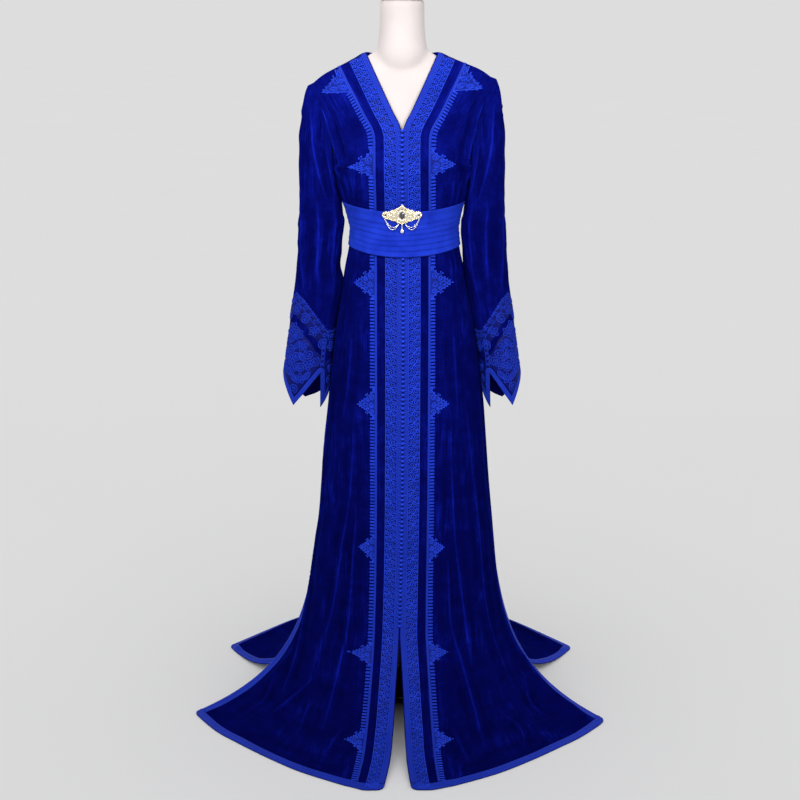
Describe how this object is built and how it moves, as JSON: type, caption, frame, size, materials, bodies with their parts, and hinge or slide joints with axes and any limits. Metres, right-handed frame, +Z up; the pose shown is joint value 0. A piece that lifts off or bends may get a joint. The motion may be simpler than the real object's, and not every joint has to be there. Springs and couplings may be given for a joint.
{
  "type": "kaftan on a dress form",
  "caption": "Long front-opening velvet kaftan with V neck, braid and lace bands, pointed split cuffs, pleated sash and brooch, spread train, on a limbless dress form.",
  "frame": {"origin": "centre of the base underside on the floor, on the axis of the pole", "axes": "+Z up through the neck of the form; the front of the kaftan faces -Y; the left of the wearer is +X"},
  "size_m": [0.9434, 0.9849, 1.648],
  "materials": {
    "velvet": "deep royal blue silk velvet with a short pile and soft sheen",
    "braid": "bright royal blue woven silk braid and knotted cord",
    "lace": "royal blue couched cord embroidery",
    "sash": "pleated royal blue chiffon",
    "gold": "polished pale gold plate",
    "stone": "faceted dark cut stone",
    "linen": "off-white stretched jersey cover",
    "wood": "brown turned wood, satin lacquer",
    "steel": "brushed steel"
  },
  "bodies": {
    "root": {"front_right": "velvet", "front_left": "velvet", "back": "velvet", "sleeve_right": "velvet", "sleeve_left": "velvet", "edge_braid_right": "braid", "edge_braid_left": "braid", "cuff_braid_right": "braid", "cuff_braid_left": "braid", "hem_braid_front_right": "braid", "hem_braid_front_left": "braid", "hem_braid_back": "braid", "neck_braid": "braid", "button_row": "braid", "lace_band_right": "lace", "lace_band_left": "lace", "motif_band_right": "lace", "motif_band_left": "lace", "cuff_embroidery_right": "lace", "cuff_embroidery_left": "lace", "sash": "sash", "brooch_plate": "gold", "brooch_chain_right": "gold", "brooch_chain_left": "gold", "brooch_drop": "gold", "brooch_stone": "stone", "form_torso": "linen", "form_neck_cap": "wood", "form_pole": "steel", "form_base": "steel"}
  },
  "joints": []
}
